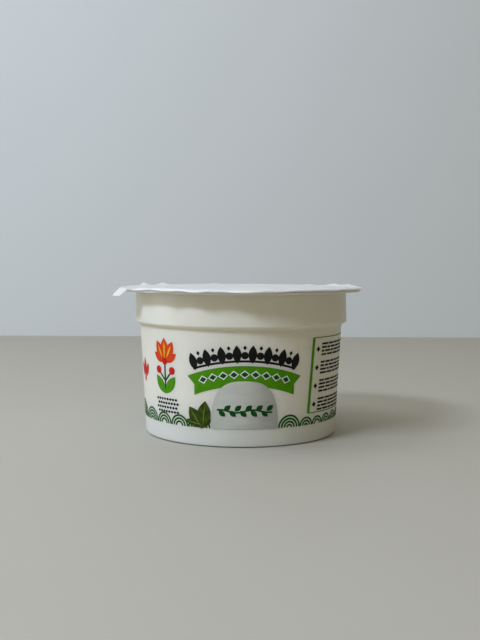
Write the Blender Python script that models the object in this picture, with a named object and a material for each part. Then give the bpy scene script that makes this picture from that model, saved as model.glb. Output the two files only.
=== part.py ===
"""A sealed round dairy tub with a peel-off film lid, as two solids at real size.

Metres, +Z up. The tub stands on its foot ring at z = 0, its axis is the Z axis, and its front faces -Y.
The tub is a turned solid: it stands for the moulded wall, the brine and the cheese that the shut pack
holds. The lid is a thin film that lies over the sealing flange, with a puckered free edge and a pull tab.
"""

import math

import bmesh
import bpy
import numpy as np

MM = 0.001

# Tub: radii and heights of the turned outline.
FOOT_RADIUS = 37.95 * MM
FOOT_LIFT = 0.3 * MM
FOOT_ROUNDING = 0.5 * MM
STANDING_RADIUS = 36.5 * MM
STANDING_WIDTH = 1.9 * MM
FOOT_RECESS = 1.1 * MM
SHOULDER_RADIUS = 40.15 * MM
SHOULDER_HEIGHT = 43.15 * MM
COLLAR_BASE_RADIUS = 42.1 * MM
COLLAR_BASE_HEIGHT = 44.1 * MM
COLLAR_TOP_RADIUS = 41.7 * MM
COLLAR_ROUNDING = 0.7 * MM
FLANGE_RADIUS = 47.5 * MM
FLANGE_THICKNESS = 0.9 * MM
FLANGE_INNER_RADIUS = 41.0 * MM
FLANGE_ROUNDING = 0.2 * MM
TUB_HEIGHT = 57.0 * MM
FILL_DEPTH = 1.4 * MM

# Film lid: a near circle that overhangs the flange, 0.3 mm clear of it.
FILM_GAP = 0.3 * MM
FILM_THICKNESS = 0.2 * MM
FILM_RADIUS = 48.4 * MM
SEAL_OUTER_RADIUS = 43.6 * MM
SEAL_INNER_RADIUS = 41.6 * MM
FILM_SAG = 0.7 * MM
EDGE_RISE = 0.25 * MM
PUCKERS = 22
PUCKER_HEIGHT = 0.22 * MM
PUCKER_REACH = 0.25 * MM

# Where the free edge lifts: azimuth from the front (positive to the right), half-width, height.
EDGE_LIFTS = (
    (-38.0, 14.0, 0.5 * MM),
    (33.0, 15.0, 0.35 * MM),
    (116.0, 12.0, 0.9 * MM),
    (-126.0, 10.0, 0.9 * MM),
)

# Pull tab: a straight-ended tongue on the left that hangs over the flange's edge.
TAB_AZIMUTH = -71.5
TAB_HALF_ANGLE = 8.5
TAB_BLEND_ANGLE = 5.0
TAB_RADIUS = 52.0 * MM
TAB_FOLD_AZIMUTH = -74.0
TAB_FOLD_DISTANCE = 48.0 * MM
TAB_SLOPE = 0.95
TAB_FOLD_SOFTNESS = 0.5 * MM

# A small lobe of film on the right, opposite the tab.
LOBE_AZIMUTH = 100.0
LOBE_HALF_ANGLE = 9.0
LOBE_REACH = 1.9 * MM

TUB_SEGMENTS = 96
FILM_SEGMENTS = 110
ARC_STEPS = 2
SHARP_ANGLE = math.radians(35)


def clear_scene():
    for item in list(bpy.data.objects):
        bpy.data.objects.remove(item, do_unlink=True)


def plastic(name, colour, roughness):
    """A Principled material of one colour."""
    material = bpy.data.materials.new(name)
    material.use_nodes = True
    shader = material.node_tree.nodes["Principled BSDF"]
    shader.inputs["Base Color"].default_value = (*colour, 1.0)
    shader.inputs["Roughness"].default_value = roughness
    shader.inputs["Metallic"].default_value = 0.0
    return material


def add_object(name, mesh, material):
    mesh.materials.append(material)
    thing = bpy.data.objects.new(name, mesh)
    bpy.context.scene.collection.objects.link(thing)
    return thing


def rounded(corners):
    """The outline through (radius, height, rounding) corners, each rounding made of short chords of an arc."""
    points = []
    for index, (radius, height, rounding) in enumerate(corners):
        here = np.array([radius, height])
        if rounding == 0.0:
            points.append(here)
            continue
        back = np.array(corners[index - 1][:2]) - here
        ahead = np.array(corners[index + 1][:2]) - here
        back /= np.linalg.norm(back)
        ahead /= np.linalg.norm(ahead)
        half = math.acos(float(np.clip(back @ ahead, -1.0, 1.0))) / 2
        centre = here + (back + ahead) / np.linalg.norm(back + ahead) * rounding / math.sin(half)
        start = here + back * rounding / math.tan(half) - centre
        end = here + ahead * rounding / math.tan(half) - centre
        turn = math.pi - 2 * half
        for step in range(ARC_STEPS + 1):
            t = step / ARC_STEPS
            swing = (math.sin((1 - t) * turn) * start + math.sin(t * turn) * end) / math.sin(turn)
            points.append(centre + swing)
    return points


def turned(outline, segments):
    """The closed mesh that an outline from axis to axis sweeps in one turn about Z."""
    shape = bmesh.new()
    ring = [shape.verts.new((radius, 0.0, height)) for radius, height in outline]
    edges = [shape.edges.new(pair) for pair in zip(ring, ring[1:])]
    bmesh.ops.spin(shape, geom=ring + edges, axis=(0, 0, 1), cent=(0, 0, 0), steps=segments,
                   angle=2 * math.pi, use_merge=True)
    bmesh.ops.remove_doubles(shape, verts=shape.verts, dist=0.00001)
    bmesh.ops.recalc_face_normals(shape, faces=shape.faces)
    mesh = bpy.data.meshes.new("turned")
    shape.to_mesh(mesh)
    shape.free()
    mesh.shade_smooth()
    mesh.set_sharp_from_angle(angle=SHARP_ANGLE)
    return mesh


def tub():
    """Inset standing ring, tapered wall, sloping shoulder, collar and the projecting sealing flange."""
    ring_inner = STANDING_RADIUS - STANDING_WIDTH
    under_flange = TUB_HEIGHT - FLANGE_THICKNESS
    fill_height = TUB_HEIGHT - FILL_DEPTH
    corners = (
        (0.0, fill_height, 0.0),
        (FLANGE_INNER_RADIUS - 0.3 * MM, fill_height, 0.0),
        (FLANGE_INNER_RADIUS, TUB_HEIGHT, 0.0),
        (FLANGE_RADIUS, TUB_HEIGHT, FLANGE_ROUNDING),
        (FLANGE_RADIUS, under_flange, FLANGE_ROUNDING),
        (COLLAR_TOP_RADIUS, under_flange, COLLAR_ROUNDING),
        (COLLAR_BASE_RADIUS, COLLAR_BASE_HEIGHT, COLLAR_ROUNDING),
        (SHOULDER_RADIUS, SHOULDER_HEIGHT, COLLAR_ROUNDING),
        (FOOT_RADIUS, FOOT_LIFT, FOOT_ROUNDING),
        (STANDING_RADIUS + 0.2 * MM, FOOT_LIFT, 0.0),
        (STANDING_RADIUS, 0.0, 0.0),
        (ring_inner, 0.0, 0.0),
        (ring_inner - FOOT_RECESS / 2, FOOT_RECESS, 0.0),
        (0.0, FOOT_RECESS, 0.0),
    )
    cream = plastic("cream_polypropylene", (0.80, 0.79, 0.72), 0.38)
    return add_object("tub", turned(rounded(corners), TUB_SEGMENTS), cream)


def azimuth_gap(azimuth, centre):
    """Degrees from centre, wrapped to the nearer way round."""
    return (azimuth - centre + 180.0) % 360.0 - 180.0


def film_edge(azimuth):
    """The film's outline: a circle with small scallops, a straight-ended tab and a low lobe."""
    from_tab = np.abs(azimuth_gap(azimuth, TAB_AZIMUTH))
    reach = TAB_RADIUS * math.cos(math.radians(TAB_HALF_ANGLE))
    tab = reach / np.cos(np.radians(np.minimum(from_tab, TAB_HALF_ANGLE)))
    share = np.clip(1 - (from_tab - TAB_HALF_ANGLE) / TAB_BLEND_ANGLE, 0.0, 1.0)
    share = share * share * (3 - 2 * share)
    lobe = LOBE_REACH * np.exp(-((azimuth_gap(azimuth, LOBE_AZIMUTH) / LOBE_HALF_ANGLE) ** 2))
    scallop = PUCKER_REACH * np.sin(np.radians(azimuth) * PUCKERS)
    rim = FILM_RADIUS + lobe + scallop * (1 - share)
    return rim + (tab - rim) * share


def film_height(radius, azimuth, edge):
    """Height over the flat seal: sag inside it, rise, lifts and puckers outside it, and the tab's droop."""
    inside = np.clip(radius / SEAL_INNER_RADIUS, 0.0, 1.0)
    sag = -FILM_SAG * (1 - inside ** 2) ** 2
    free = np.clip((radius - SEAL_OUTER_RADIUS) / (edge - SEAL_OUTER_RADIUS), 0.0, 1.0)
    lift = sum(height * np.exp(-((azimuth_gap(azimuth, centre) / width) ** 2))
               for centre, width, height in EDGE_LIFTS)
    pucker = PUCKER_HEIGHT * (0.5 + 0.5 * np.cos(np.radians(azimuth) * PUCKERS))
    beyond = radius * np.cos(np.radians(azimuth - TAB_FOLD_AZIMUTH)) - TAB_FOLD_DISTANCE
    droop = TAB_SLOPE * (beyond + np.hypot(beyond, TAB_FOLD_SOFTNESS)) / 2
    return sag + (EDGE_RISE + lift + pucker) * free ** 1.5 - droop * (free > 0)


def film_lid():
    """The film: rings of points from the centre to the edge, thickened upwards."""
    azimuth = np.arange(FILM_SEGMENTS) * 360.0 / FILM_SEGMENTS
    edge = film_edge(azimuth)
    fixed = [SEAL_INNER_RADIUS * share for share in (0.3, 0.6, 0.85)]
    rings = [np.full(FILM_SEGMENTS, radius) for radius in (*fixed, SEAL_INNER_RADIUS, SEAL_OUTER_RADIUS)]
    rings += [SEAL_OUTER_RADIUS + (edge - SEAL_OUTER_RADIUS) * share for share in (0.4, 0.75, 1.0)]
    base = TUB_HEIGHT + FILM_GAP
    points = [(0.0, 0.0, base - FILM_SAG)]
    for radius in rings:
        height = base + film_height(radius, azimuth, edge)
        turn = np.radians(azimuth)
        points += zip(radius * np.sin(turn), -radius * np.cos(turn), height)
    faces = []
    for index in range(FILM_SEGMENTS):
        after = (index + 1) % FILM_SEGMENTS
        faces.append((0, 1 + index, 1 + after))
        for ring in range(len(rings) - 1):
            inner = 1 + ring * FILM_SEGMENTS
            outer = inner + FILM_SEGMENTS
            faces.append((inner + index, outer + index, outer + after, inner + after))
    mesh = bpy.data.meshes.new("film")
    mesh.from_pydata([tuple(map(float, point)) for point in points], [], faces)
    mesh.shade_smooth()
    white = plastic("white_film", (0.86, 0.88, 0.90), 0.3)
    film = add_object("lid", mesh, white)
    wall = film.modifiers.new("film_thickness", "SOLIDIFY")
    wall.thickness = FILM_THICKNESS
    wall.offset = 1.0
    return film


clear_scene()
tub()
film_lid()
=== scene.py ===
"""Looks of a sealed mozzarella tub: the moulded tub, the heat-sealed film, the printed wall and a soft
studio."""

import math

import bpy
import numpy as np
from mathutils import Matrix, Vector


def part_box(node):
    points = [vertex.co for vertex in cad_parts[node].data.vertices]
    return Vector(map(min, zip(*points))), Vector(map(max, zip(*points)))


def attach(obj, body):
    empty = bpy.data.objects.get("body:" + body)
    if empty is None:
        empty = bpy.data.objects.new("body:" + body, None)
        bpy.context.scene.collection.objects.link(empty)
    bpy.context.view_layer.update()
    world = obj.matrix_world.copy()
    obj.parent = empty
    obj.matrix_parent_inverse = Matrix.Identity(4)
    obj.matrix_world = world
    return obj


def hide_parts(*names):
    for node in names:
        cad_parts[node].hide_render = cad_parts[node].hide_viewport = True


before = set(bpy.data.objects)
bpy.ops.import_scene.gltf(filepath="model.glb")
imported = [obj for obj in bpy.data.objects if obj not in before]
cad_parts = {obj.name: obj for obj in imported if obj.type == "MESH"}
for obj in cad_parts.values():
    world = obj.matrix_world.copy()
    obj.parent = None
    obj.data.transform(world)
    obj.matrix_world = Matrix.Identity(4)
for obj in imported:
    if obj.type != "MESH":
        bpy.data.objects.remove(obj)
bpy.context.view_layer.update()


# --- Tub ----------------------------------------------------------------------------------------------
# One injection-moulded shell of cream polypropylene: an inset standing ring, a tapered wall, a sloping
# shoulder, a collar that stiffens the mouth, and a thin flange that the film is sealed to.

MM = 0.001
tub_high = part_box("tub")[1]
rim_radius = tub_high.x
rim_height = tub_high.z
foot_radius = 37.95 * MM
shoulder_radius = 40.15 * MM
shoulder_height = 43.15 * MM
flange_thickness = 0.9 * MM
fill_depth = 1.4 * MM
foot_lift = 0.3 * MM
foot_recess = 1.1 * MM
gate_depth = 0.85 * MM
gate_mark = 0.55 * MM
tub_columns = 384
parting_azimuth = -57.0
parting_half_width = 0.8
parting_rise = 0.06 * MM
parting_foot, parting_top = 44 * MM, 56 * MM


def rounded_outline(corners, arc_steps=7, guard=0.15 * MM, longest_run=2.0 * MM):
    """Radius and height along a turned outline of (radius, height, rounding) corners. A corner with a
    rounding becomes an arc tangent to both of its runs. Each run has a point close to each of its ends and
    others evenly between, so that smooth shading stays flat along it."""
    arcs = []
    for index, (radius, height, rounding) in enumerate(corners):
        here = np.array([radius, height])
        if rounding == 0:
            arcs.append(here[None, :])
            continue
        back = np.array(corners[index - 1][:2]) - here
        ahead = np.array(corners[index + 1][:2]) - here
        back, ahead = back / np.linalg.norm(back), ahead / np.linalg.norm(ahead)
        half = math.acos(float(np.clip(back @ ahead, -1, 1))) / 2
        centre = here + (back + ahead) / np.linalg.norm(back + ahead) * rounding / math.sin(half)
        start = here + back * rounding / math.tan(half) - centre
        end = here + ahead * rounding / math.tan(half) - centre
        turn = math.pi - 2 * half
        share = np.linspace(0, 1, arc_steps + 1)[:, None]
        arc = np.sin((1 - share) * turn) * start + np.sin(share * turn) * end
        arcs.append(centre + arc / math.sin(turn))
    points = [arcs[0]]
    for before, after in zip(arcs, arcs[1:]):
        run = after[0] - before[-1]
        length = np.linalg.norm(run)
        if length > 3 * guard:
            inner = np.linspace(guard, length - guard, 2 + int(length / longest_run))
            points.append(before[-1] + run * inner[:, None] / length)
        points.append(after)
    return np.concatenate(points).T


def finished_mesh(name, points, faces, material):
    """A piece from points and faces, smooth except at sharp edges, that rides on the tub."""
    mesh = bpy.data.meshes.new(name)
    mesh.from_pydata(points.tolist(), [], faces)
    mesh.shade_smooth()
    mesh.set_sharp_from_angle(angle=math.radians(40))
    mesh.materials.append(material)
    piece = bpy.data.objects.new(name, mesh)
    bpy.context.scene.collection.objects.link(piece)
    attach(piece, "root")
    return piece


def ring_solid(name, rings, top_pole, bottom_pole, material):
    """A closed piece from rings of points (rows, columns, 3), each running anticlockwise seen from above,
    joined row to row from the top pole, over the outside, to the bottom pole."""
    rows, columns = rings.shape[:2]
    points = np.concatenate([rings.reshape(-1, 3), [top_pole, bottom_pole]])
    column = np.arange(columns)
    after = (column + 1) % columns
    row = np.arange(rows - 1)[:, None] * columns
    quads = np.stack([row + column, row + columns + column, row + columns + after, row + after], -1)
    last = (rows - 1) * columns
    top = np.stack([np.full(columns, rows * columns), column, after], -1)
    bottom = np.stack([np.full(columns, rows * columns + 1), last + after, last + column], -1)
    faces = quads.reshape(-1, 4).tolist() + top.tolist() + bottom.tolist()
    return finished_mesh(name, points, faces, material)


def turn_points(radius, azimuth, height):
    """Points at a radius and a height, an azimuth (radians) round from the front towards the right."""
    return np.stack(np.broadcast_arrays(radius * np.sin(azimuth), -radius * np.cos(azimuth), height), -1)


def gap_from(azimuth_degrees, centre):
    """Degrees from a centre, the nearer way round."""
    return (azimuth_degrees - centre + 180) % 360 - 180


def linear(hex_colour):
    """An sRGB hex colour as linear RGBA."""
    channels = np.array([int(hex_colour[i:i + 2], 16) for i in (1, 3, 5)]) / 255
    rgb = np.where(channels <= 0.04045, channels / 12.92, ((channels + 0.055) / 1.055) ** 2.4)
    return (*map(float, rgb), 1.0)


def add_node(tree, kind, inputs=None, **settings):
    """Adds a node: settings are its properties, and inputs maps sockets to values or to sockets to link."""
    made = tree.nodes.new(kind)
    for key, value in settings.items():
        setattr(made, key, value)
    for socket, value in (inputs or {}).items():
        if isinstance(value, bpy.types.NodeSocket):
            tree.links.new(value, made.inputs[socket])
        else:
            made.inputs[socket].default_value = value
    return made


def new_material(name, constants):
    """A material, its node tree and its Principled shader, whose constant sockets are set by name."""
    material = bpy.data.materials.new(name)
    material.use_nodes = True
    tree = material.node_tree
    shader = tree.nodes["Principled BSDF"]
    for socket, value in constants.items():
        shader.inputs[socket].default_value = value
    return material, tree, shader


def tub_outline():
    """The tub's outline from the axis at the top, over the flange and down the outside, to the axis below."""
    under_flange = rim_height - flange_thickness
    fill_height = rim_height - fill_depth
    return rounded_outline((
        (0, fill_height, 0),
        (40.7 * MM, fill_height, 0.2 * MM),
        (41.0 * MM, rim_height, 0.15 * MM),
        (rim_radius, rim_height, 0.22 * MM),
        (rim_radius, under_flange, 0.3 * MM),
        (41.75 * MM, under_flange, 0.6 * MM),
        (42.12 * MM, 44.1 * MM, 0.75 * MM),
        (shoulder_radius, shoulder_height, 0.7 * MM),
        (foot_radius, foot_lift, 0.5 * MM),
        (36.7 * MM, foot_lift, 0.1 * MM),
        (36.5 * MM, 0, 0.12 * MM),
        (34.7 * MM, 0, 0.3 * MM),
        (34.1 * MM, foot_recess, 0.3 * MM),
        (21.0 * MM, foot_recess, 0.2 * MM),
        (20.7 * MM, gate_depth, 0.2 * MM),
        (2.2 * MM, gate_depth, 0.3 * MM),
        (1.6 * MM, gate_mark, 0.2 * MM),
        (0, gate_mark, 0),
    ))


def satin_polypropylene():
    """Polypropylene as moulded: cream, faintly see-through so that its shade is warm, with a satin skin that
    carries a faint orange peel about 1 mm across. Its colour is greyed towards the foot by painted shade."""
    material, tree, shader = new_material("satin_polypropylene", {
        "IOR": 1.49, "Subsurface Weight": 0.5, "Subsurface Radius": (1.0, 0.95, 0.75),
        "Subsurface Scale": 5.0 * MM})
    place = add_node(tree, "ShaderNodeTexCoord").outputs["Object"]
    cloud = add_node(tree, "ShaderNodeTexNoise", {"Vector": place, "Scale": 1 / (14 * MM), "Detail": 3.0})
    tone = add_node(tree, "ShaderNodeMix", {"Factor": cloud.outputs["Fac"], "A": linear("#E6E1CE"),
                                            "B": linear("#ECE7D5")}, data_type="RGBA")
    # Painted shade: the base colour greys over the lowest 20 mm, standing in for the dimmer light near the
    # table.
    foot_shade_share = add_node(tree, "ShaderNodeMapRange", {
        "Value": add_node(tree, "ShaderNodeSeparateXYZ", {"Vector": place}).outputs["Z"],
        "From Min": 20 * MM, "From Max": 0.0, "To Max": 0.8})
    painted_foot_shade = add_node(tree, "ShaderNodeMix", {"Factor": foot_shade_share.outputs["Result"],
                                              "A": tone.outputs["Result"], "B": linear("#D2D5CC")},
                      data_type="RGBA")
    tree.links.new(painted_foot_shade.outputs["Result"], shader.inputs["Base Color"])
    peel = add_node(tree, "ShaderNodeTexNoise", {"Vector": place, "Scale": 1 / (1.1 * MM), "Detail": 4.0})
    gloss = add_node(tree, "ShaderNodeMapRange", {"Value": cloud.outputs["Fac"], "From Min": 0.3,
                                                  "From Max": 0.7, "To Min": 0.34, "To Max": 0.42})
    tree.links.new(gloss.outputs["Result"], shader.inputs["Roughness"])
    relief = add_node(tree, "ShaderNodeBump", {"Height": peel.outputs["Fac"], "Strength": 0.25,
                                               "Distance": 0.02 * MM})
    tree.links.new(relief.outputs["Normal"], shader.inputs["Normal"])
    return material


def tub_rings(radius, height):
    """The outline turned round the axis, with two parting lines on the collar half a turn apart, each a low
    bell curve round it."""
    azimuth = np.arange(tub_columns) * 2 * math.pi / tub_columns
    from_parting = np.abs(gap_from(np.degrees(azimuth) * 2, 2 * parting_azimuth)) / 2
    line = parting_rise * np.exp(-((from_parting / parting_half_width) ** 2))
    on_collar = (height > parting_foot) & (height < parting_top)
    ridged = radius[:, None] + line[None, :] * on_collar[:, None]
    return turn_points(ridged, azimuth[None, :], height[:, None])


radius, height = tub_outline()
tub = ring_solid("moulded_tub", tub_rings(radius, height)[1:-1], (0, 0, height[0]), (0, 0, height[-1]),
                 satin_polypropylene())
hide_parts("tub")


# --- Film lid -----------------------------------------------------------------------------------------
# White lacquered peel film, sealed to the flange by a heated ring. Outside the seal its edge rises, rolls
# over and hangs just past the flange at the front. The pull tab is folded down over the flange on the left,
# and a low lobe stands out opposite it.

film_thickness = 0.12 * MM
film_clearance = 0.02 * MM
film_radius = 48.15 * MM
film_sag = 0.35 * MM
seal_inner = 41.4 * MM
seal_outer = 44.3 * MM
inner_rings, seal_rings, free_rings = 60, 6, 25
film_columns = 540
crest_height = 0.72 * MM
crest_place = 0.55
hang_start = 47.5 * MM
tab_azimuth = -71.5
tab_reach = 50.8 * MM
tab_half_angle = 8.5
tab_fold_azimuth = -74.0
tab_fold = 47.8 * MM
tab_slope = 0.95
# Lobe, lifts and flaps: azimuth and half-width in degrees, and size.
film_lobe = (100.0, 9.0, 2.0 * MM)
film_lifts = (
    (-39.0, 8.0, 0.28 * MM),
    (-26.5, 3.5, 0.14 * MM),
    (-14.5, 2.2, 0.18 * MM),
    (31.0, 12.0, 0.16 * MM),
    (112.0, 6.0, 0.95 * MM),
    (124.0, 5.0, 0.90 * MM),
    (141.0, 4.0, 0.30 * MM),
    (-120.0, 2.5, 1.15 * MM),
    (-134.5, 3.0, 0.85 * MM),
    (-165.0, 2.5, 0.30 * MM),
)
film_flaps = ((-55.0, 4.0, 1.0 * MM), (-35.0, 4.5, 1.4 * MM), (-19.0, 5.0, 1.4 * MM), (1.5, 6.0, 1.1 * MM))
# Creases: middle x and y in mm, heading in degrees, half-length and height in mm.
film_creases = (
    (2, 0, -54, 22, -0.34), (7, 3, -52, 18, 0.16), (4, -26, 12, 8, 0.14), (-15, -30, -18, 8, 0.08),
    (22, -12, 35, 8, 0.14), (-24, 14, 50, 8, 0.08), (22, 18, -25, 9, 0.16), (28, 10, 62, 8, 0.14),
    (33, 2, -10, 7, 0.12), (16, 28, 10, 9, 0.14),
)


def smooth_step(share):
    """0 to 1 with level ends: three times the square less twice the cube."""
    share = np.clip(share, 0, 1)
    return share * share * (3 - 2 * share)


def pucker_wave(azimuth_degrees):
    """Uneven puckers from -1 to 1: sine waves of 26 and 17 periods whose phases wander slowly."""
    turn = np.radians(azimuth_degrees)
    wander = 0.9 * np.sin(2 * turn + 0.4) + 0.7 * np.sin(3 * turn + 1.9)
    return 0.62 * np.sin(26 * turn + wander) + 0.38 * np.sin(17 * turn + 2.1 + 1.3 * wander)


def bumps(azimuth_degrees, places):
    """The sum of bell curves round the rim, each given by its middle, its half-width and its size."""
    return sum(size * np.exp(-((gap_from(azimuth_degrees, middle) / width) ** 2))
               for middle, width, size in places)


def film_edge(azimuth_degrees):
    """The film's outline: a circle with uneven scallops, a few wide flaps and a low lobe, drawn in a little
    at the front. Near the tab it passes smoothly into a straight end, as the reach over a cosine."""
    from_tab = np.abs(gap_from(azimuth_degrees, tab_azimuth))
    tab = tab_reach / np.cos(np.radians(np.minimum(from_tab, tab_half_angle)))
    share = smooth_step(1 - (from_tab - tab_half_angle) / 3.5)
    front = smooth_step(np.cos(np.radians(azimuth_degrees)) * 1.4)
    rim = film_radius - 0.3 * MM * front + bumps(azimuth_degrees, film_flaps + (film_lobe,))
    rim = rim + (0.2 - 0.08 * front) * MM * pucker_wave(azimuth_degrees)
    return rim + (tab - rim) * share


def film_skin(x, y):
    """Unevenness of the film inside the seal: crossed sine waves, stronger on the right, and creases, each a
    bell curve both across its line and along it."""
    wave = (np.sin(x / (1.8 * MM) + 0.8 * np.sin(y / (4.1 * MM))) * np.sin(y / (2.6 * MM) + 1.1)
            + 0.6 * np.sin(x / (3.3 * MM) + y / (2.1 * MM) + 0.5))
    skin = (0.015 + 0.1 * smooth_step((x / MM + 2) / 22)) * MM * wave
    for middle_x, middle_y, heading, reach, size in film_creases:
        lean = math.radians(heading)
        across = (x - middle_x * MM) * math.sin(lean) - (y - middle_y * MM) * math.cos(lean)
        along = (x - middle_x * MM) * math.cos(lean) + (y - middle_y * MM) * math.sin(lean)
        skin = skin + size * MM * np.exp(-((across / (1.1 * MM)) ** 2) - (along / (reach * MM)) ** 2)
    return skin


def film_height(radius, azimuth_degrees, edge):
    """Height over the flat seal. Inside it the film sags and is lightly creased; the seal is pressed flat;
    past it the film rises in a crest that rolls over by a quarter ellipse at the front, and in narrow lifts
    at its edge elsewhere; past a fold line the tab slopes down."""
    turn = np.radians(azimuth_degrees)
    inside = np.clip(radius / seal_inner, 0, 1)
    sag = -film_sag * (1 - inside ** 2) ** 1.5
    skin = film_skin(radius * np.sin(turn), -radius * np.cos(turn))
    free = np.clip((radius - seal_outer) / (edge - seal_outer), 0, 1)
    front = smooth_step((np.cos(turn) + 0.1) / 0.6)
    near_tab = smooth_step(1 - (np.abs(gap_from(azimuth_degrees, tab_azimuth)) - 12) / 8)
    crest = front * (1 - near_tab) * (crest_height + 0.1 * MM * pucker_wave(azimuth_degrees + 3))
    roll = np.where(free < crest_place, smooth_step(free / crest_place),
                    np.sqrt(np.clip(1 - ((free - crest_place) / (1 - crest_place)) ** 2, 0, 1)))
    edge_rise = front * (0.05 + 0.04 * pucker_wave(azimuth_degrees + 9)) * MM
    edge_rise = (edge_rise + bumps(azimuth_degrees, film_lifts)) * (1 - 0.7 * near_tab) * free ** 1.3
    hang = (0.2 * MM * front + 0.1 * bumps(azimuth_degrees, film_flaps)) * (1 - near_tab)
    hang = hang * smooth_step((radius - hang_start) / (0.4 * MM))
    beyond = radius * np.cos(np.radians(azimuth_degrees - tab_fold_azimuth)) - tab_fold
    droop = tab_slope * (beyond + np.hypot(beyond, 0.3 * MM)) / 2 * (free > 0)
    return sag + skin * (1 - inside ** 6) + crest * roll - hang + edge_rise - droop


def film_rings():
    """Rings of the film's top from near its centre to its edge, closer together at the edge, then of its
    underside back again, and the height of its centre."""
    turn_degrees = np.arange(film_columns) * 360.0 / film_columns
    edge = film_edge(turn_degrees)
    inner = np.linspace(0.02, 1, inner_rings)[:, None] * seal_inner
    seal = np.linspace(seal_inner, seal_outer, seal_rings + 1)[1:, None]
    share = 1 - np.linspace(1, 0, free_rings + 1)[1:, None] ** 1.6
    free = seal_outer + (edge - seal_outer)[None, :] * share
    rings = np.concatenate([np.broadcast_to(inner, (inner_rings, film_columns)),
                            np.broadcast_to(seal, (seal_rings, film_columns)), free])
    top = rim_height + film_clearance + film_thickness + film_height(rings, turn_degrees, edge)
    turn = np.radians(turn_degrees)
    upper = turn_points(rings, turn, top)
    lower = turn_points(rings, turn, top - film_thickness)[::-1]
    return np.concatenate([upper, lower]), top[0].mean()


def lacquered_film():
    """Lacquered peel film: white, glossy and thin enough to glow a little, with fine crinkles 2 mm across."""
    material, tree, shader = new_material("lacquered_white_film", {
        "IOR": 1.5, "Roughness": 0.28, "Coat Weight": 0.3, "Coat Roughness": 0.3, "Subsurface Weight": 0.8,
        "Subsurface Radius": (1.0, 1.0, 0.95), "Subsurface Scale": 0.4 * MM})
    place = add_node(tree, "ShaderNodeTexCoord").outputs["Object"]
    cloud = add_node(tree, "ShaderNodeTexNoise", {"Vector": place, "Scale": 1 / (9 * MM), "Detail": 4.0})
    tone = add_node(tree, "ShaderNodeMix", {"Factor": cloud.outputs["Fac"], "A": linear("#F7F5E6"),
                                            "B": linear("#FCFAEB")}, data_type="RGBA")
    tree.links.new(tone.outputs["Result"], shader.inputs["Base Color"])
    crinkle = add_node(tree, "ShaderNodeTexNoise", {"Vector": place, "Scale": 1 / (2.2 * MM), "Detail": 6.0,
                                                    "Distortion": 0.8})
    relief = add_node(tree, "ShaderNodeBump", {"Height": crinkle.outputs["Fac"], "Strength": 0.3,
                                               "Distance": 0.05 * MM})
    tree.links.new(relief.outputs["Normal"], shader.inputs["Normal"])
    return material


rings, centre_height = film_rings()
film = ring_solid("film_lid", rings, (0, 0, centre_height), (0, 0, centre_height - film_thickness),
                  lacquered_film())
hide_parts("lid")


# --- Printed band -------------------------------------------------------------------------------------
# The wall is decorated with inks a few hundredths of a millimetre thick, so each ink shape is a thin shell
# wrapped on the wall. The largest is an arched green band with notched ends, which carries a row of dark
# lozenges with white edges. The whole design, drawn in mm, is printed twice, on the front and on the back.

ink_lift = 0.04 * MM
wrap_radius = 39.0
design_middle = 1.4
design_places = (0.0, math.pi * wrap_radius)
arch_centre = -27.0
lozenge_arc = 54.1
ink_cell = 0.9
least_half_width = 0.02


def wall_radius(height):
    """Radius of the tapered wall at a height."""
    return foot_radius + (shoulder_radius - foot_radius) * height / shoulder_height


def stroke(x, z, half_width):
    """A grid of (x, z) points in mm: a path's points spread to both sides of it, square to the path, by a
    half-width that may change along it, in cells small enough to follow the wall."""
    x, z, half_width = np.broadcast_arrays(np.asarray(x, float), np.asarray(z, float), half_width)
    along = np.stack([np.gradient(x), np.gradient(z)], -1)
    along /= np.linalg.norm(along, axis=-1, keepdims=True)
    side = np.linspace(-1, 1, 2 + int(2 * half_width.max() / ink_cell))
    offset = side[None, :] * half_width[:, None]
    return np.stack([x[:, None] - along[:, None, 1] * offset, z[:, None] + along[:, None, 0] * offset], -1)


def straight(x, z, length, tilt, count):
    """Points of a straight path of a length in mm about a middle, tilted from level in degrees."""
    step = np.linspace(-0.5, 0.5, count) * length
    return x + step * math.cos(math.radians(tilt)), z + step * math.sin(math.radians(tilt))


def bar(x, z, length, thickness, tilt=0.0):
    """A straight bar with square ends."""
    return stroke(*straight(x, z, length, tilt, 2 + int(length / ink_cell)), thickness / 2)


def lozenge(x, z, length, width, tilt=0.0):
    """A diamond: a straight stroke whose half-width falls evenly from its middle to its ends."""
    share = np.abs(np.linspace(-1, 1, 7))
    half_width = np.maximum(width / 2 * (1 - share), least_half_width)
    return stroke(*straight(x, z, length, tilt, 7), half_width)


def almond(x, z, length, width, tilt=0.0):
    """A pointed oval: a straight stroke whose half-width follows one minus the square of its share."""
    share = np.linspace(-1, 1, 15)
    half_width = np.maximum(width / 2 * (1 - share ** 2), least_half_width)
    return stroke(*straight(x, z, length, tilt, 15), half_width)


def disc(x, z, width):
    """A round spot: a straight stroke whose half-width follows a circle."""
    turn = np.linspace(-0.5, 0.5, 17) * math.pi
    half_width = np.maximum(width / 2 * np.cos(turn), least_half_width)
    return stroke(x + np.sin(turn) * width / 2, np.full(17, float(z)), half_width)


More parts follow.
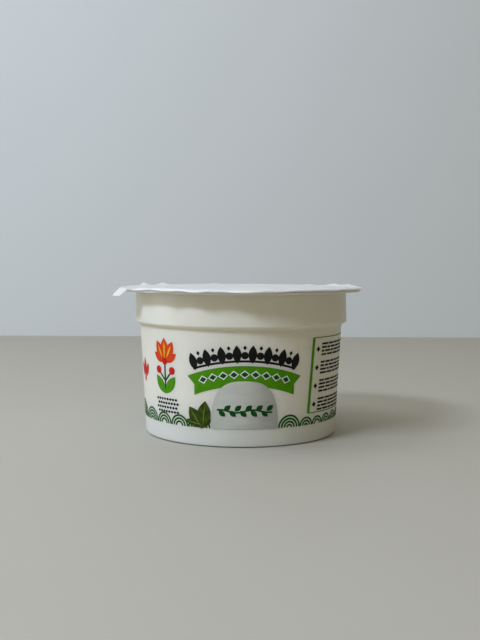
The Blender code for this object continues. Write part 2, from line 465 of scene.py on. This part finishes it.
def print_ink(name, patches, material, level=1):
    """A closed shell for each patch of (x, z) points in mm, wrapped on the wall at each of the design's
    places: x runs round it from the front and z up it. A higher level lies on top of a lower one."""
    points, faces, start = [], [], 0
    for patch in patches:
        rows, columns = patch.shape[:2]
        count = rows * columns
        index = np.arange(count).reshape(rows, columns)
        quads = np.stack([index[:-1, :-1], index[1:, :-1], index[1:, 1:], index[:-1, 1:]], -1).reshape(-1, 4)
        rim = np.concatenate([index[:-1, 0], index[-1, :-1], index[:0:-1, -1], index[0, :0:-1]])
        after = np.roll(rim, -1)
        walls = np.stack([rim, rim + count, after + count, after], -1)
        shell = np.concatenate([quads, quads[:, ::-1] + count, walls])
        for place in design_places:
            turn = (patch[..., 0] + place) / wrap_radius
            z = patch[..., 1] * MM
            outer = turn_points(wall_radius(z) + ink_lift * level, turn, z)
            inner = turn_points(wall_radius(z) - ink_lift, turn, z)
            points += [outer.reshape(-1, 3), inner.reshape(-1, 3)]
            faces.append(shell + start)
            start += 2 * count
    return finished_mesh(name, np.concatenate(points), np.concatenate(faces).tolist(), material)


def wall_ink(name, hex_colour, lighter_hex, patch_size=2.2 * MM):
    """Ink as laid on the wall: duller than the bare plastic, with faint clouds where it was laid thinner."""
    material, tree, shader = new_material(name, {"IOR": 1.49, "Roughness": 0.55, "Specular IOR Level": 0.15})
    place = add_node(tree, "ShaderNodeTexCoord").outputs["Object"]
    cloud = add_node(tree, "ShaderNodeTexNoise", {"Vector": place, "Scale": 1 / patch_size, "Detail": 5.0})
    share = add_node(tree, "ShaderNodeMapRange", {"Value": cloud.outputs["Fac"], "From Min": 0.35,
                                                  "From Max": 0.65})
    tone = add_node(tree, "ShaderNodeMix", {"Factor": share.outputs["Result"], "A": linear(hex_colour),
                                            "B": linear(lighter_hex)}, data_type="RGBA")
    tree.links.new(tone.outputs["Result"], shader.inputs["Base Color"])
    return material


def arch(radius_mm, degrees):
    """Points on the design's arch: circles about a point under the design's middle."""
    turn = np.radians(degrees)
    return design_middle + radius_mm * np.sin(turn), arch_centre + radius_mm * np.cos(turn)


def arched_band(inner, outer, half_angle, notch):
    """A band between two arcs of one centre whose ends are notched to a shallow swallow tail."""
    share = np.linspace(-1, 1, 56)[:, None]
    side = np.linspace(0, 1, 9)[None, :]
    reach = half_angle - notch * (1 - np.abs(2 * side - 1))
    x, z = arch(outer + (inner - outer) * side, share * reach)
    return np.stack([x, z], -1)[:, ::-1]


leaf_green = wall_ink("leaf_green_ink", "#458600", "#4F9200")
bottle_green = wall_ink("bottle_green_ink", "#06400F", "#0C4D18")
white_ink = wall_ink("white_ink", "#E4E6DC", "#ECEEE6")
lozenge_turns = np.linspace(-16.5, 16.5, 9)
print_ink("green_band", [arched_band(inner=49.8, outer=57.2, half_angle=22.3, notch=1.6)], leaf_green)
print_ink("band_lozenge_edges",
          [lozenge(*arch(lozenge_arc, turn), 3.7, 3.1, -turn) for turn in lozenge_turns], white_ink, 2)
print_ink("band_lozenges",
          [lozenge(*arch(lozenge_arc, turn), 2.7, 2.1, -turn) for turn in lozenge_turns], bottle_green, 3)


# --- Printed garland ----------------------------------------------------------------------------------
# Above the band stands a heavy garland in warm black ink: tall almonds and round spots in turn along the
# arch, joined by a thin line.

garland_arc = 61.4
garland_black = wall_ink("warm_black_ink", "#0D0C0B", "#161513")
garland_turns = np.linspace(-18.2, 18.2, 15)
garland = [almond(*arch(garland_arc, turn), 6.6, 3.1, 90 - turn) for turn in garland_turns[::2]]
garland += [disc(*arch(garland_arc - 0.4, turn), 2.7) for turn in garland_turns[1::2]]
garland += [lozenge(*arch(garland_arc + 2.4, turn), 1.7, 1.4, 90 - turn) for turn in garland_turns[1::2]]
garland.append(stroke(*arch(garland_arc - 2.5, np.linspace(-19, 19, 45)), 0.4))
print_ink("dark_garland", garland, garland_black)


# --- Printed dome -------------------------------------------------------------------------------------
# A pale grey dome stands on the base line in front of the band, shaded like a ball, with a dark green sprig
# across it and a fan of olive leaves at its left foot.

base_line = 7.0
dome_width = 24.8
dome_rise = 17.6
dome_power = 2.8
sprig_height = 13.6


def dome():
    """A dome on the base line: its height follows a superellipse across its width."""
    share = np.sin(np.linspace(-0.5, 0.5, 41) * math.pi)
    rise = dome_rise * np.maximum(1 - np.abs(share) ** dome_power, 1e-6) ** (1 / dome_power)
    rise = rise + least_half_width
    side = np.linspace(0, 1, 20)[None, :]
    x = np.broadcast_to((design_middle + share * dome_width / 2)[:, None], (41, 20))
    return np.stack([x, base_line + side * rise[:, None]], -1)


def ball_shaded_ink():
    """Pale grey ink laid in a soft halftone: lighter in the middle of the dome, darker towards its rim, with
    faint slanting folds about 5 mm apart."""
    material, tree, shader = new_material("pale_grey_ink", {"IOR": 1.49, "Roughness": 0.55,
                                                            "Specular IOR Level": 0.15})
    place = add_node(tree, "ShaderNodeTexCoord").outputs["Object"]
    centred = add_node(tree, "ShaderNodeMapping", {
        "Vector": place, "Location": (0.2, 0, -0.83),
        "Scale": (1.6 / (dome_width * MM), 0, 0.65 / (dome_rise * MM))})
    reach = add_node(tree, "ShaderNodeVectorMath", {0: centred.outputs["Vector"]}, operation="LENGTH")
    shade = add_node(tree, "ShaderNodeMapRange", {"Value": reach.outputs["Value"], "From Min": 0.25,
                                                  "From Max": 1.05}, interpolation_type="SMOOTHSTEP")
    folds = add_node(tree, "ShaderNodeMapping", {"Vector": place, "Rotation": (0, 0.6, 0),
                                                 "Scale": (1 / (9 * MM), 1 / (9 * MM), 1 / (3 * MM))})
    fold = add_node(tree, "ShaderNodeTexNoise", {"Vector": folds.outputs["Vector"], "Scale": 1.0,
                                                 "Detail": 3.0})
    sum_of = add_node(tree, "ShaderNodeMath", {0: shade.outputs["Result"], 1: fold.outputs["Fac"]},
                      operation="ADD")
    share = add_node(tree, "ShaderNodeMapRange", {"Value": sum_of.outputs["Value"], "From Min": 0.3,
                                                  "From Max": 1.5})
    tone = add_node(tree, "ShaderNodeMix", {"Factor": share.outputs["Result"], "A": linear("#CECEC1"),
                                            "B": linear("#A8A89C")}, data_type="RGBA")
    tree.links.new(tone.outputs["Result"], shader.inputs["Base Color"])
    return material


olive_ink = wall_ink("olive_leaf_ink", "#243204", "#41560A", 1.8 * MM)
print_ink("pale_dome", [dome()], ball_shaded_ink(), 4)
sprig_x = np.linspace(-10.2, 10.2, 25)
sprig = [stroke(design_middle + sprig_x, sprig_height + 0.5 * np.sin(sprig_x / 1.9), 0.32)]
for order, x in enumerate(np.linspace(-8.8, 8.8, 10)):
    up = 1 if order % 2 else -1
    sprig.append(almond(design_middle + x + 0.5, sprig_height + 0.1 + up, 3.2, 1.9, 40 * up))
print_ink("dome_sprig", sprig, bottle_green, 5)
olive_leaves = ((-13.9, 11.9, 10.2, 5.4, 83), (-17.2, 10.6, 9.4, 5.0, 124), (-17.9, 8.7, 7.6, 3.0, 168),
                (-13.0, 9.9, 5.6, 3.6, 74), (-15.4, 8.8, 6.4, 3.0, 156))
print_ink("olive_leaves", [almond(*leaf) for leaf in olive_leaves], olive_ink, 2)
print_ink("olive_leaf_veins", [almond(x, z, 0.8 * length, 0.34, tilt)
                               for x, z, length, width, tilt in olive_leaves[:3]],
          wall_ink("pale_olive_ink", "#66762A", "#74843A"), 3)


# --- Printed border -----------------------------------------------------------------------------------
# A traditional border of striped scallops runs round the foot of the wall in dark green, largest beside the
# dome. On each side of it one more scallop takes up what is left of the quarter turn.

quarter_turn = math.pi * wrap_radius / 2
border_start = dome_width / 2 + 0.4
half_circle = np.linspace(math.pi, 0, 25)
scallops = []
for side, radii in ((-1, (4.6, 4.1, 4.2, 4.9)), (1, (4.7, 3.2, 3.0, 3.2, 3.4, 3.4))):
    reached = border_start
    for radius in (*radii, (quarter_turn - border_start) / 2 - sum(radii)):
        middle = design_middle + side * (reached + radius)
        reached += 2 * radius
        for ring_radius in np.arange(radius - 0.3, 0.5, -1.15):
            scallops.append(stroke(middle + ring_radius * np.cos(half_circle),
                                   base_line + ring_radius * np.sin(half_circle), 0.35))
print_ink("scallop_border", scallops, wall_ink("meadow_green_ink", "#10520A", "#185E12"))


# --- Printed flower -----------------------------------------------------------------------------------
# On the left stands a folk flower: an orange-red head with yellow veins, red berries and green leaves, over
# a small diaper of dark lozenges. Three red petals close the design at its far left.

flower_x = -31.3
diaper_pitch = 1.5
orange_ink = wall_ink("orange_red_ink", "#D0380C", "#DA4414")
red_ink = wall_ink("signal_red_ink", "#BE1206", "#C81C0E")
yellow_ink = wall_ink("golden_yellow_ink", "#E0A010", "#EAB020")
petals = [almond(flower_x, 34.3, 9.8, 4.8, 90)]
veins = [almond(flower_x, 34.6, 6.0, 1.0, 90)]
stems = [bar(flower_x, 24.6, 11.2, 0.8, 90)]
leaves, berries = [], [disc(flower_x, 30.4, 2.6)]
for side in (-1, 1):
    petals += [almond(flower_x + 2.4 * side, 34.0, 8.8, 4.2, 90 - 27 * side),
               almond(flower_x + 3.3 * side, 31.8, 6.4, 3.0, 90 - 58 * side)]
    veins.append(almond(flower_x + 2.4 * side, 34.2, 5.2, 0.8, 90 - 27 * side))
    stems.append(bar(flower_x + 1.9 * side, 25.1, 5.4, 0.7, 90 - 44 * side))
    leaves.append(almond(flower_x + 2.7 * side, 21.6, 8.4, 3.8, 90 - 38 * side))
    berries.append(disc(flower_x + 3.7 * side, 27.1, 2.9))
print_ink("flower_stems", stems, bottle_green)
print_ink("flower_leaves", leaves, leaf_green, 2)
print_ink("flower_petals", petals, orange_ink, 2)
print_ink("flower_veins", veins, yellow_ink, 3)
print_ink("flower_berries", berries, red_ink, 3)
diaper = [lozenge(flower_x + diaper_pitch * (column - 3.5 + 0.5 * (row % 2)), 16.2 - 1.55 * row, 1.5, 1.15)
          for row in range(4) for column in range(8)]
print_ink("lozenge_diaper", diaper, garland_black)
print_ink("red_petals", [almond(-48.0, 27.0, 7.0, 3.0, 90), almond(-50.6, 25.6, 6.4, 2.7, 122),
                         almond(-45.4, 25.6, 6.4, 2.7, 58), disc(-48.0, 22.2, 2.0)], red_ink)


# --- Printed panel ------------------------------------------------------------------------------------
# On the right is a leaning panel with a green edge. Where such a pack carries its small print, this one has
# groups of plain dark dashes, each with a diamond.

panel_foot, panel_top = 11.4, 39.6
panel_left, panel_right = 29.1, 60.0
panel_slant = 0.053
group_pitch, dash_pitch, dash_gap = 6.9, 1.35, 0.55


def panel_lean(x, z):
    """A place on the panel, moved to the left by the slant times its depth under the panel's top."""
    return x + panel_slant * (z - panel_top), z


def panel_line(start, end, half_width):
    """A straight line between two places on the leaning panel."""
    (start_x, start_z), (end_x, end_z) = panel_lean(*start), panel_lean(*end)
    share = np.linspace(0, 1, 36)
    return stroke(start_x + (end_x - start_x) * share, start_z + (end_z - start_z) * share, half_width)


print_ink("panel_edge", [panel_line((panel_left, panel_foot), (panel_left, panel_top), 0.62)], leaf_green, 2)
print_ink("panel_lines", [panel_line((panel_left, panel_top), (panel_right, panel_top), 0.18),
                          panel_line((panel_left, panel_foot), (panel_right, panel_foot), 0.18),
                          panel_line((panel_right, panel_foot), (panel_right, panel_top), 0.18)], leaf_green)
dashes, diamonds = [], []
for group in range(4):
    group_z = 37.1 - group_pitch * group
    diamonds.append(lozenge(*panel_lean(panel_left + 2.8, group_z - 1.9), 2.1, 2.1))
    for row in range(4):
        x, z = panel_left + 4.9, group_z - dash_pitch * row
        line_end = panel_right - 2.5 - 5.0 * abs(math.sin(2.3 * group + 1.7 * row))
        while x < line_end:
            length = 1.6 + 2.6 * abs(math.sin(1.9 * x + 0.7 * row + group))
            dashes.append(bar(*panel_lean(x + length / 2, z), length, 0.72))
            x += length + dash_gap
print_ink("panel_dashes", dashes, garland_black)
print_ink("panel_diamonds", diamonds, garland_black)


# --- Table, backdrop, light and camera ----------------------------------------------------------------
# A plain pale table and wall, daylight from a window at the front left and from a high and a low one at the
# left, a faint front light, a dim ceiling and a camera a little above the lid.

table_half = 2.0
wall_distance = 0.42
wall_height = 1.6
aim_height = 30 * MM
camera_place = (-0.52 * MM, -360.8 * MM, 69.35 * MM)
camera_dip_degrees = 4.015
camera_roll_degrees = -0.25


def plain_stage(name, corners, hex_colour, roughness):
    """A flat four-cornered surface of the stage in matt paint, mottled very faintly."""
    material, tree, shader = new_material(name + "_paint", {"Roughness": roughness})
    place = add_node(tree, "ShaderNodeTexCoord").outputs["Object"]
    cloud = add_node(tree, "ShaderNodeTexNoise", {"Vector": place, "Scale": 12.0, "Detail": 3.0})
    shade = tuple(0.97 * channel for channel in linear(hex_colour)[:3]) + (1.0,)
    tone = add_node(tree, "ShaderNodeMix", {"Factor": cloud.outputs["Fac"], "A": shade,
                                            "B": linear(hex_colour)}, data_type="RGBA")
    tree.links.new(tone.outputs["Result"], shader.inputs["Base Color"])
    mesh = bpy.data.meshes.new(name)
    mesh.from_pydata(corners, [], [(0, 1, 2, 3)])
    mesh.materials.append(material)
    surface = bpy.data.objects.new(name, mesh)
    bpy.context.scene.collection.objects.link(surface)


def soft_light(name, azimuth_degrees, elevation_degrees, distance, width, height, power, hex_colour):
    """A level area light aimed at the tub's middle, unseen by the camera."""
    light = bpy.data.lights.new(name, "AREA")
    light.shape = "RECTANGLE"
    light.size, light.size_y = width, height
    light.energy = power
    light.color = linear(hex_colour)[:3]
    lamp = bpy.data.objects.new(name, light)
    turn, rise = math.radians(azimuth_degrees), math.radians(elevation_degrees)
    away = np.array([math.sin(turn) * math.cos(rise), -math.cos(turn) * math.cos(rise), math.sin(rise)])
    lamp.location = away * distance + np.array([0, 0, aim_height])
    lamp.rotation_euler = (math.pi / 2 - rise, 0, turn)
    lamp.visible_camera = False
    bpy.context.scene.collection.objects.link(lamp)


plain_stage("table", [(-table_half, -table_half, 0), (table_half, -table_half, 0),
                      (table_half, table_half, 0), (-table_half, table_half, 0)], "#B2AD9E", 0.6)
plain_stage("wall", [(-table_half, wall_distance, 0), (table_half, wall_distance, 0),
                     (table_half, wall_distance, wall_height), (-table_half, wall_distance, wall_height)],
            "#E0E3DF", 0.8)
soft_light("window_light", -45, 41.5, 0.85, 0.3, 0.12, 5.1, "#D6E4FF")
soft_light("high_window_light", -88, 58, 1.3, 0.55, 0.55, 3.7, "#DCE8FF")
soft_light("low_window_light", -88, 10, 1.2, 0.6, 0.6, 2.4, "#E2EBFF")
soft_light("front_light", 10, 14, 0.7, 0.5, 0.5, 0.11, "#FFF4DE")
soft_light("ceiling_light", 0, 89, 1.3, 1.2, 1.2, 3.8, "#FFF6E8")
world = bpy.data.worlds.new("soft_room")
world.use_nodes = True
world.node_tree.nodes["Background"].inputs["Color"].default_value = linear("#E2DBC0")
world.node_tree.nodes["Background"].inputs["Strength"].default_value = 0.24
bpy.context.scene.world = world
bpy.context.scene.view_settings.view_transform = "Standard"
bpy.context.scene.view_settings.look = "None"

camera_data = bpy.data.cameras.new("camera")
camera_data.sensor_width = 36.0
camera_data.lens = 50.6
camera = bpy.data.objects.new("camera", camera_data)
camera.location = camera_place
camera.rotation_euler = (math.radians(90 - camera_dip_degrees), math.radians(camera_roll_degrees), 0)
bpy.context.scene.collection.objects.link(camera)
bpy.context.scene.camera = camera
